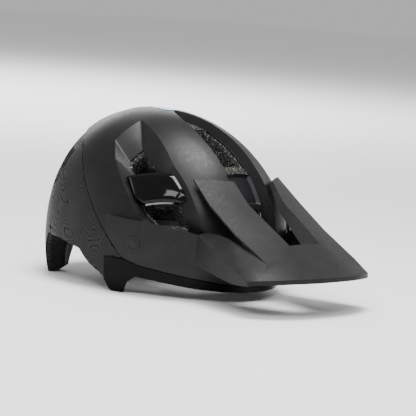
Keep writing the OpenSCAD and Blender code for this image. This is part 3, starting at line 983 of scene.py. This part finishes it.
@dataclass
class Visor:
    """Visor with two side wings, a split upper facet, two arms and a bowed peak."""

    gap: float = 2.6
    skin: float = 0.3
    thickness: float = 2.3
    wing_top: Sequence[Pair] = ((26, 82), (28, 81.5), (45.5, 78), (60, 76), (66.5, 75))
    wing_low: Sequence[Pair] = ((26, 93.5), (28.5, 93.5), (55.5, 94.5), (58, 93), (66.5, 80))

    def strip(self, upper: Sequence[Sequence[float]], lower: Sequence[Sequence[float]],
              parts: int) -> list[np.ndarray]:
        """Rows between two matched chains of key points, measured from the dome's middle.

        Args:
            upper: first chain.
            lower: last chain.
            parts: number of strips between them.

        Returns:
            The rows in the helmet's frame.
        """
        a, b = (np.array(c, float) + np.array([0, DOME_Y, 0]) for c in (upper, lower))
        return [a + (b - a) * t / parts for t in range(parts + 1)]

    def build(self) -> bpy.types.Object:
        """The whole visor moulding."""
        m = Mesher()
        off = self.gap + self.thickness / 2 + self.skin
        angles = [66.5, 65.5, 64, 62, 59, 56, 52, 48, 44, 40, 36, 33]
        wing = []
        for t in range(4):
            plan = [polar(edge_at(self.wing_top, a)
                          + (edge_at(self.wing_low, a) - edge_at(self.wing_top, a)) * t / 3, a)
                    for a in angles]
            wing.append(OUTER.points(plan, off))
        root = [wing[t][-1] - np.array([0, DOME_Y, 0]) for t in range(4)]
        crease = [root[0], (66, -136, 66.2), (70.8, -156, 58.8), (75.7, -176.5, 51.3),
                  (80, -200, 42.8), (82.4, -213, 38.2), (83.8, -223.2, 34.6)]
        low = [root[3], (67, -135, 37.5), (67.5, -152, 34), (71, -171.5, 30.8),
               (77, -197, 28.4), (80.8, -212, 29.2), (83.4, -224, 30.6)]
        m.rows(wing)
        side = self.strip(crease, low, 3)
        for t in range(4):
            side[t][0] = wing[t][-1]
        m.rows(side)
        middle, end = (42, -220.5, 57), (22, -215, 64.3)
        slot = (62, -225.5, 49.8)
        brow = [crease[1], (61.1, -142, 68.7), (60.6, -158.2, 69.2), (61.6, -172.3, 67.3), (61.3, -183, 63.9),
                (61.3, -195.9, 59.7), (62.1, -209.4, 55.5), slot, (52, -223, 53.4), middle,
                (31.5, -217.6, 61.2), end, (11, -214, 64.6), (0, -213.7, 64.8)]
        peak = [*crease[1:], (80.6, -227.5, 35.3), (75.5, -232.5, 35.9), (62, -242, 37.1),
                (46, -248.8, 37.9), (33, -251.7, 38), (22, -253, 38.1), (11, -253.6, 38.1),
                (0, -253.8, 38.1)]
        m.rows(self.strip(brow, peak, 5))
        lip = [(x, y - 0.4, z - 3.8) for x, y, z in peak[5:]]
        lip[0] = low[-1]
        m.rows(self.strip(peak[5:], lip, 1))
        inner = [(27.4, -139.8, 117.5), (26, -160.8, 97), (24, -194.3, 77.1), end]
        outer = [(59.7, -117, 118), (63, -145.5, 96), (63, -182.2, 72.5), slot]
        centre = [(44, -128.5, 118.8), (45, -153.5, 97.4), (43.5, -188.5, 75.6), middle]
        quarter = [self.half(a, b) for a, b in zip(centre, outer)]
        quarter[3] = (52, -223, 53.4)
        three = [self.half(a, b) for a, b in zip(centre, inner)]
        three[3] = (31.5, -217.6, 61.2)
        fold = [(26.4, -138.8, 115.5), (21.5, -158.5, 90), (15.5, -189.5, 68), (12.5, -211, 53)]
        dense = [self.along(c) for c in (outer, quarter, centre, three, inner, fold)]
        m.rows([np.array(c) + np.array([0, DOME_Y, 0]) for c in dense])
        m.mirror()
        return piece("visor moulding", m.mesh("visor"), VISOR, thick=self.thickness, bevel=0.8, angle=20,
                     offset=0.0)

    @staticmethod
    def half(a: Sequence[float], b: Sequence[float]) -> tuple[float, ...]:
        """The point midway between two key points."""
        return tuple((p + q) / 2 for p, q in zip(a, b))

    @staticmethod
    def along(chain: Sequence[Sequence[float]], parts: int = 3) -> list[np.ndarray]:
        """Splits a chain of key points into shorter straight parts.

        Args:
            chain: the key points.
            parts: parts between two of them.

        Returns:
            All points in order.
        """
        out = []
        for a, b in zip(chain, chain[1:]):
            a, b = np.array(a, float), np.array(b, float)
            out += [a + (b - a) * t / parts for t in range(parts)]
        return out + [np.array(chain[-1], float)]


# ---------------------------------------------------------------- pads


@dataclass
class Pad:
    """One stuffed pad between two front angles and two polar angles of a form."""

    name: str
    node: str
    span: Pair
    top: float
    low: float
    near: float = 2.0
    far: float = 7.0
    form: Form = INNER
    body: str = "helmet"
    pressure: float = 4.0
    voxel: float = 0.0035
    frames: int = 16
    most: float = 0.0016

    def outline(self, inset: float) -> Loop:
        """Closed outline of the pad.

        Args:
            inset: how far it is drawn in, in degrees.

        Returns:
            The outline with round corners.
        """
        a0, a1 = self.span[0] + inset, self.span[1] - inset
        if self.top < 20:
            a0, a1 = self.span
        top, low = [(0, self.top + inset)], [(0, self.low - inset)]
        return rounded(arc_of(top, a0, a1, 9) + arc_of(low, a1, a0, 9), 1.5)

    def build(self) -> bpy.types.Object:
        """Makes the pad's block and lets air pressure puff it."""
        wide, slim = stepped([self.outline(0.0), self.outline(1.2)], 2.5)
        m = Mesher()
        middle = (self.near + self.far) / 2
        m.loft(self.form.points(slim, -self.near), self.form.points(wide, -middle), 1)
        m.loft(self.form.points(wide, -middle), self.form.points(slim, -self.far), 1)
        m.fill(slim, [], lambda q: self.form.points(q, -self.near), 2.5)
        m.fill(slim, [], lambda q: self.form.points(q, -self.far), 2.5)
        obj = piece(self.name, m.mesh(self.name, outward=False), PAD)
        self.puff(obj)
        return obj

    def puff(self, obj: bpy.types.Object) -> None:
        """Puffs the pad's cover by cloth simulation under a little pressure.

        Args:
            obj: the pad's block, which is changed.
        """
        mod = obj.modifiers.new("remesh", "REMESH")
        mod.mode, mod.voxel_size = "VOXEL", self.voxel
        bake(obj)
        rest = [v.co.copy() for v in obj.data.vertices]
        cloth = obj.modifiers.new("cloth", "CLOTH")
        s = cloth.settings
        s.quality, s.mass, s.use_pressure, s.uniform_pressure_force = 5, 0.3, True, self.pressure
        s.tension_stiffness = s.compression_stiffness = 20
        s.effector_weights.gravity = 0.0
        cloth.collision_settings.use_collision = False
        cloth.point_cache.frame_start, cloth.point_cache.frame_end = 1, self.frames
        scene = bpy.context.scene
        for f in range(1, self.frames + 1):
            scene.frame_set(f)
        bake(obj)
        scene.frame_set(1)
        moved = 0.0
        for v, r in zip(obj.data.vertices, rest):
            d = v.co - r
            if d.length > self.most:
                v.co = r + d.normalized() * self.most
            moved = max(moved, (v.co - r).length)
        sub = obj.modifiers.new("smooth", "SUBSURF")
        sub.levels = sub.render_levels = 1
        bake(obj)
        for f in obj.data.polygons:
            f.use_smooth = True
        LOG.info("%s puffed by %.2f mm", obj.name, moved * 1000)


# ---------------------------------------------------------------- webbing and cradle


@dataclass
class Strip:
    """A thin plate along a form between two edge tables, such as webbing or a headband."""

    form: Form
    span: Pair
    top: Sequence[Pair]
    low: Sequence[Pair]
    off: float
    thick: float
    parts: int = 4
    ripple: float = 0.0

    def into(self, m: Mesher) -> None:
        """Adds the strip as a closed slab.

        Args:
            m: what it is added to.
        """
        n = max(2, math.ceil(abs(self.span[1] - self.span[0]) / 1.2))
        angles = [self.span[0] + (self.span[1] - self.span[0]) * i / n for i in range(n + 1)]
        faces = []
        for off in (self.off, self.off - self.thick):
            rows = []
            for j in range(self.parts + 1):
                plan = [polar(edge_at(self.top, a) + (edge_at(self.low, a) - edge_at(self.top, a))
                              * j / self.parts, a) for a in angles]
                wave = self.ripple * np.sin(np.radians(np.array(angles) * 40 + j * 25))
                rows.append(self.form.points(plan, off + wave))
            faces.append(rows)
        outer, inner = faces
        m.rows(outer)
        m.rows(inner)
        m.rows([outer[0], inner[0]])
        m.rows([outer[-1], inner[-1]])
        for k in (0, -1):
            m.rows([[r[k] for r in outer], [r[k] for r in inner]])


@dataclass
class Straps:
    """Webbing of one side: front and rear strap, chin strap, divider and lever."""

    side: Side
    thick: float = 1.3

    def made(self, name: str, strips: Sequence[Strip], finish: Finish, bevel: float) -> bpy.types.Object:
        """Builds strips as one piece on this side.

        Args:
            name: name of the piece, without its side.
            strips: the slabs, as they lie on the left.
            finish: the piece's finish.
            bevel: width of the rounded edges in millimetres.

        Returns:
            The piece.
        """
        m = Mesher()
        for st in strips:
            st.into(m)
        if self.side is Side.RIGHT:
            m.verts = [(-x, y, z) for x, y, z in m.verts]
        return piece(f"{name} {self.side.value}", m.mesh(name, outward=False), finish,
                     bevel=bevel, angle=40, segments=2)

    def webbing(self) -> bpy.types.Object:
        """Front and rear straps with bar-tack stitching at their ends."""
        w, o = self.thick, -2.6
        strips = [Strip(INNER, (58, 88.6), ((58, 87), (62, 87), (90, 70)),
                        ((58, 94), (62, 94), (90, 78)), o, w, ripple=0.06),
                  Strip(INNER, (101.4, 130), ((100, 70), (126, 80.5), (131, 81)),
                        ((100, 78), (126, 87.5), (131, 88)), o, w, ripple=0.06)]
        for a, t, b in ((66, 84.0, 91.2), (67.5, 83.2, 90.6), (122, 79.6, 86.6), (123.5, 80.0, 87.0)):
            strips.append(Strip(INNER, (a, a + 0.7), ((0, t + 0.6),), ((0, b - 0.4),), o - w + 0.1, 0.35))
        return self.made("side webbing", strips, WEB, 0.25)

    def chin(self) -> bpy.types.Object:
        """The chin strap, folded up along the cavity wall."""
        w, o = self.thick, -4.2
        return self.made("chin webbing", [
            Strip(INNER, (101.4, 145.6), ((95, 66), (112, 69), (180, 69)),
                  ((95, 68.5), (112, 76.5), (180, 76.5)), o, w, ripple=0.08),
            Strip(INNER, (111, 111.8), ((0, 69.6),), ((0, 76.0),), o - w + 0.1, 0.35)], WEB, 0.25)

    def divider(self) -> bpy.types.Object:
        """Cam divider body with ribs."""
        strips = [Strip(INNER, (89, 101), ((0, 66.5),), ((0, 79.5),), -2.0, 3.4)]
        strips += [Strip(INNER, (a, a + 1.1), ((0, 67.0),), ((0, 68.1),), -5.3, 0.5)
                   for a in (90.5, 93.5, 96.5)]
        return self.made("cam divider", strips, TRIM, 0.6)

    def lever(self) -> bpy.types.Object:
        """The divider's cam lever with its pin and finger ribs."""
        strips = [Strip(INNER, (90, 100), ((0, 68.5),), ((0, 79),), -5.7, 1.8)]
        strips += [Strip(INNER, (91.5, 98.5), ((0, p),), ((0, p + 0.7),), -7.4, 0.5)
                   for p in (75, 76.5, 78)]
        m = Mesher()
        p0, p1 = (np.array(INNER.at(68.5, a, -7)) for a in (90, 100))
        m.rows(turned(p0, p1 - p0, [(0.01, 0), (1.2, 0), (1.2, np.linalg.norm(p1 - p0)),
                                    (0.01, np.linalg.norm(p1 - p0))], 20), closed=True)
        for st in strips:
            st.into(m)
        if self.side is Side.RIGHT:
            m.verts = [(-x, y, z) for x, y, z in m.verts]
        return piece(f"cam lever {self.side.value}", m.mesh("lever", outward=False), TRIM,
                     bevel=0.4, angle=40, segments=2)


def turned(base: Sequence[float], axis: Sequence[float], profile: Sequence[Pair],
           parts: int = 48, notch: Callable[[float], float] | None = None) -> list[np.ndarray]:
    """Rows of a shape turned about an axis.

    Args:
        base: foot of the axis in millimetres.
        axis: its direction.
        profile: (radius, height) pairs.
        parts: points around.
        notch: how far the rim is cut in at an angle, outside the hub.

    Returns:
        One closed row for each pair of the profile.
    """
    z = Vector(axis).normalized()
    x = z.orthogonal().normalized()
    y = z.cross(x)
    rows = []
    for r, h in profile:
        row = []
        for i in range(parts):
            t = 2 * math.pi * i / parts
            reach = r - (notch(t) if notch and r > HUB_RADIUS else 0)
            row.append(np.array(Vector(base) + z * h + (x * math.cos(t) + y * math.sin(t)) * reach))
        rows.append(np.array(row))
    return rows


@dataclass
class FitSystem:
    """Cradle, headband arms and dial at the back of the head."""

    axis: tuple[float, float, float] = (0.0, 139.7, 32.0)
    knob_radius: float = 13.0
    knob_gap: float = 4.3
    notches: int = 12
    notch_depth: float = 1.5
    head_gap: float = 16.4
    housing_half: float = 21.0
    pivot: Pair = (87.2, 51.0)
    pivot_height: float = 4.9

    def cradle(self) -> bpy.types.Object:
        """The moulded cradle with its windows."""
        m = Mesher()
        top = ((0, 78), (150, 83), (180, 76))
        low = ((0, 92), (150, 96), (165, 104), (180, 105))
        outline = arc_across_back(top, 146, 214) + arc_across_back(low, 214, 146)
        holes = []
        for sign in (-1, 1):
            for window in (((84, 6), (84, 14), (93, 18), (93, 6)), ((95, 22), (95, 28), (97, 28), (97, 22))):
                holes.append(loop_of(*[(p, 180 + sign * a) for p, a in window]))
        holes.append(loop_of((77.5, 176), (77.5, 184), (80, 184), (80, 176)))
        holes = [stepped([rounded(h, 0.8)], 2.0)[0] for h in holes]
        m.fill(stepped([outline], 2.0)[0], holes, lambda q: HEAD.points(q, -self.head_gap), 2.0)
        return piece("cradle moulding", m.mesh("cradle"), TRIM, thick=2.0, bevel=0.5, angle=30, segments=2)

    def sleeve_ring(self, x: float, half_y: float, half_z: float,
                    r: float) -> list[tuple[float, float, float]]:
        """Round-cornered section of the rack sleeve.

        Args:
            x: where the section lies.
            half_y: half its depth.
            half_z: half its height.
            r: corner radius.

        Returns:
            Its points in space.
        """
        _, y0, z0 = self.axis
        out = []
        for k in range(24):
            t = 2 * math.pi * (k + 0.5) / 24
            sy, sz = math.copysign(1, math.cos(t)), math.copysign(1, math.sin(t))
            out.append((x, y0 - 0.15 + sy * (half_y - r) + r * math.cos(t),
                        z0 + sz * (half_z - r) + r * math.sin(t)))
        return out

    def housing(self) -> bpy.types.Object:
        """Dial housing: a rounded sleeve for the two racks, with a lug and a round boss."""
        x0, y0, z0 = self.axis
        m = Mesher()
        end = self.housing_half
        mouth, chamfer, full = (2.0, 11.7, 0.6), (3.2, 12.7, 1.6), (3.95, 13.5, 1.9)
        shape = [(-end, mouth), (-end, chamfer), (0.8 - end, full), (-15, full), (0, full), (15, full),
                 (end - 0.8, full), (end, chamfer), (end, mouth)]
        m.rows([self.sleeve_ring(x, *size) for x, size in shape], closed=True)
        m.rows([self.sleeve_ring(x, *mouth) for x in (-end, 0, end)], closed=True)
        for r0, r1, h0, h1 in ((15.2, 14.6, 3.7, 4.2), (12.0, 11.5, 3.7, 4.1)):
            ridge = [(r0, h0), (r1, h1), (r1 - 0.8, h1), (r1 - 1.2, h0)]
            m.rows(turned(self.axis, (0, 1, 0), ridge, 96), closed=True)
        lug = [[(x0 + x, y0 + y, z0 + z) for x, y in ((-5, -4.1), (5, -4.1), (5, 6.9), (-5, 6.9))]
               for z in (13.2, 16.2)]
        m.rows(lug, closed=True)
        m.add(lug[1], [(0, 1, 2, 3)])
        return piece("rack housing", m.mesh("dial housing", outward=False), TRIM, bevel=0.5,
                     angle=50, segments=2)

    def notch(self, t: float) -> float:
        """Depth of the knob's finger notches at an angle."""
        return self.notch_depth * max(0.0, math.cos(self.notches * t)) ** 2

    def knob(self) -> bpy.types.Object:
        """Dial knob with twelve finger notches and a dished face."""
        base = np.array(self.axis) + np.array([0, self.knob_gap, 0])
        r = self.knob_radius
        profile = [(3.2, 2.8), (3.2, 0.0), (r - 1.2, 0.0), (r, 0.8), (r - 0.3, 4), (r - 1.0, 7.4),
                   (r - 1.8, 8.3), (8.6, 8.5), (7.9, 8.0), (7.4, 7.5), (4.0, 7.2), (0.05, 7.2)]
        m = Mesher()
        m.rows(turned(base, (0, 1, 0), profile, 144, self.notch), closed=True)
        return piece("notched knob", m.mesh("dial knob", outward=False), TRIM, bevel=0.25, angle=35,
                     segments=2)

    def pivot_caps(self) -> bpy.types.Object:
        """Round covers of the visor's pivots, each with a plain ring groove."""
        m = Mesher()
        profile = [(7.4, -0.6), (7.4, 0.5), (7.0, 0.9), (5.6, 0.9), (5.3, 0.5), (4.7, 0.5),
                   (4.4, 0.9), (0.05, 1.0)]
        m.rows(turned(OUTER.at(*self.pivot, self.pivot_height), OUTER.normal(*self.pivot), profile, 64),
               closed=True)
        m.mirror()
        return piece("pivot covers", m.mesh("pivot caps", outward=False), VISOR)


PADS: list[Pad] = [
    Pad("forehead pad", "brow_pad", (-52, 52), 87.2, 97.8),
    Pad("front crown pad", "crown_pad", (-26, 26), 4, 23),
    Pad("back crown pad", "crown_pad", (154, 206), 4, 12),
    Pad("side pad left", "side_pads", (70, 96), 34, 64, far=8),
    Pad("side pad right", "side_pads", (-96, -70), 34, 64, far=8),
    Pad("rear pad left", "rear_pads", (138, 172), 31.5, 43),
    Pad("rear pad right", "rear_pads", (188, 222), 31.5, 43),
    Pad("strap pad", "chin_pad", (115, 136), 68, 77.6, near=5.9, far=8.4),
    Pad("nape pad", "cradle_pad", (164, 196), 94.5, 103.5, near=18.7, far=22.5, form=HEAD,
        body="cradle"),
]


# ---------------------------------------------------------------- studio


@dataclass(frozen=True)
class Lamp:
    """A square soft light."""

    name: str
    place: tuple[float, float, float]
    size: float
    watts: float
    aim: tuple[float, float, float] = (0.0, 0.0, 0.1)

    def hang(self) -> None:
        """Adds the light, turned to its aim."""
        data = bpy.data.lights.new(self.name, "AREA")
        data.shape, data.size, data.energy = "SQUARE", self.size, self.watts
        obj = bpy.data.objects.new(self.name, data)
        bpy.context.scene.collection.objects.link(obj)
        obj.location = self.place
        way = Vector(self.aim) - Vector(self.place)
        obj.rotation_euler = way.to_track_quat("-Z", "Y").to_euler()


LAMPS: list[Lamp] = [
    Lamp("top", (0.0, -0.16, 1.5), 0.7, 36.0),
    Lamp("side left", (-1.15, -0.45, 1.25), 0.5, 9.0),
    Lamp("back left", (-1.0, 1.5, 0.4), 0.6, 3.0),
    Lamp("right", (1.7, 0.05, 0.9), 0.6, 2.5),
    Lamp("front left", (-0.75, -1.05, 1.3), 0.6, 11.0),
    Lamp("backdrop", (1.6, 2.5, 1.1), 2.2, 80.0, aim=(1.6, 2.5, 0.0)),
]


@dataclass
class Studio:
    """Pale floor, soft light and the camera."""

    azimuth: float = -44.0
    elevation: float = 6.3
    roll: float = 3.8
    distance: float = 2.165
    lens: float = 181.73
    aim: tuple[float, float, float] = (0.0, 0.0517, 0.080)
    aside: float = 0.0428
    down: float = 0.0036
    sky: float = 0.52

    def build(self) -> None:
        """Adds floor, lights, world and camera."""
        self.camera()
        self.floor()
        self.lights()

    def camera(self) -> None:
        """Long lens at the chosen angle, turned a little about its axis."""
        az, el, r = (math.radians(v) for v in (self.azimuth, self.elevation, self.roll))
        back = Vector((math.sin(az) * math.cos(el), -math.cos(az) * math.cos(el), math.sin(el)))
        right = Vector((math.cos(az), math.sin(az), 0))
        up = back.cross(right)
        rx = right * math.cos(r) + up * math.sin(r)
        ry = -right * math.sin(r) + up * math.cos(r)
        loc = Vector(self.aim) + back * self.distance
        target = Vector(self.aim) + rx * self.aside - ry * self.down
        z = (loc - target).normalized()
        x = ry.cross(z).normalized()
        y = z.cross(x)
        cam = bpy.data.cameras.new("camera")
        cam.lens, cam.sensor_width = self.lens, 36.0
        cam.clip_end = 20
        obj = bpy.data.objects.new("camera", cam)
        bpy.context.scene.collection.objects.link(obj)
        obj.matrix_world = Matrix.Translation(loc) @ Matrix((x, y, z)).transposed().to_4x4()
        bpy.context.scene.camera = obj

    def floor(self) -> None:
        """A wide pale floor that runs to the horizon."""
        bm = bmesh.new()
        bmesh.ops.create_grid(bm, x_segments=2, y_segments=2, size=9.0)
        mesh = bpy.data.meshes.new("floor")
        bm.to_mesh(mesh)
        bm.free()
        obj = bpy.data.objects.new("floor", mesh)
        bpy.context.scene.collection.objects.link(obj)
        n = Nodes("pale floor")
        n.put("Base Color", n.blend(n.noise(3, 2), (0.93, 0.93, 0.93), (0.95, 0.95, 0.95)))
        n.put("Roughness", 0.9)
        mesh.materials.append(n.mat)

    def lights(self) -> None:
        """A white sky and the soft lights."""
        world = bpy.data.worlds.new("studio")
        bpy.context.scene.world = world
        world.use_nodes = True
        sky = world.node_tree.nodes["Background"].inputs
        sky[0].default_value = (1, 1, 1, 1)
        sky[1].default_value = self.sky
        for lamp in LAMPS:
            lamp.hang()


# ---------------------------------------------------------------- main


def fit(obj: bpy.types.Object, body: str, node: str) -> bpy.types.Object:
    """Lets a piece ride on its body in place of a CAD node.

    Args:
        obj: the piece.
        body: the body that it moves with.
        node: the CAD node that it stands for.

    Returns:
        The same piece.
    """
    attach(obj, body)
    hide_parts(node)
    return obj


CARRIED: dict[str, Finish] = {
    "pivot_studs": TRIM, "hook_dots": PAD, "damping_discs": GEL,
    "strap_anchors": TRIM, "buckle_female": TRIM, "buckle_male": TRIM, "buckle_button": TRIM,
    "dial_pinion": TRIM, "headband_left": TRIM, "headband_right": TRIM,
    "height_rail": TRIM, "height_strap": TRIM,
}


def dress_carried(frame: dict) -> None:
    """Gives every carried-over CAD piece its finish.
    """
    for node, finish in CARRIED.items():
        obj = frame["nodes"][node]
        obj.data.materials.clear()
        obj.data.materials.append(finish.material())


def main() -> None:
    """Builds the helmet, the studio and finishes."""
    logging.basicConfig(level=logging.INFO)
    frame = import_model()
    openings = Openings()
    shells = Shells(openings)
    fit(shells.front_shell(), "helmet", "main_shell")
    fit(shells.rear_shell(), "helmet", "rear_shell")
    fit(shells.lower_wrap(), "helmet", "lower_wrap")
    fit(shells.decal(), "helmet", "crown_decal")
    fit(Liner(openings, shells).build(), "helmet", "eps_liner")
    fit(Bridge().build(Side.LEFT), "helmet", "vent_bridge_left")
    fit(Bridge().build(Side.RIGHT), "helmet", "vent_bridge_right")
    fit(Visor().build(), "visor", "visor")
    for pad in PADS:
        obj = fit(pad.build(), pad.body, pad.node)
    for side in Side:
        straps = Straps(side)
        v = side.value
        fit(straps.webbing(), "helmet", f"straps_{v}")
        fit(straps.chin(), "helmet", f"chin_strap_{v}")
        fit(straps.divider(), "helmet", f"divider_{v}")
        fit(straps.lever(), f"{v}_lever", f"lever_{v}")
    system = FitSystem()
    fit(system.cradle(), "cradle", "cradle")
    fit(system.housing(), "cradle", "dial_housing")
    fit(system.knob(), "dial", "dial_knob")
    fit(system.pivot_caps(), "visor", "pivot_caps")
    dress_carried(frame)
    Studio().build()


if __name__ == "__main__":
    main()
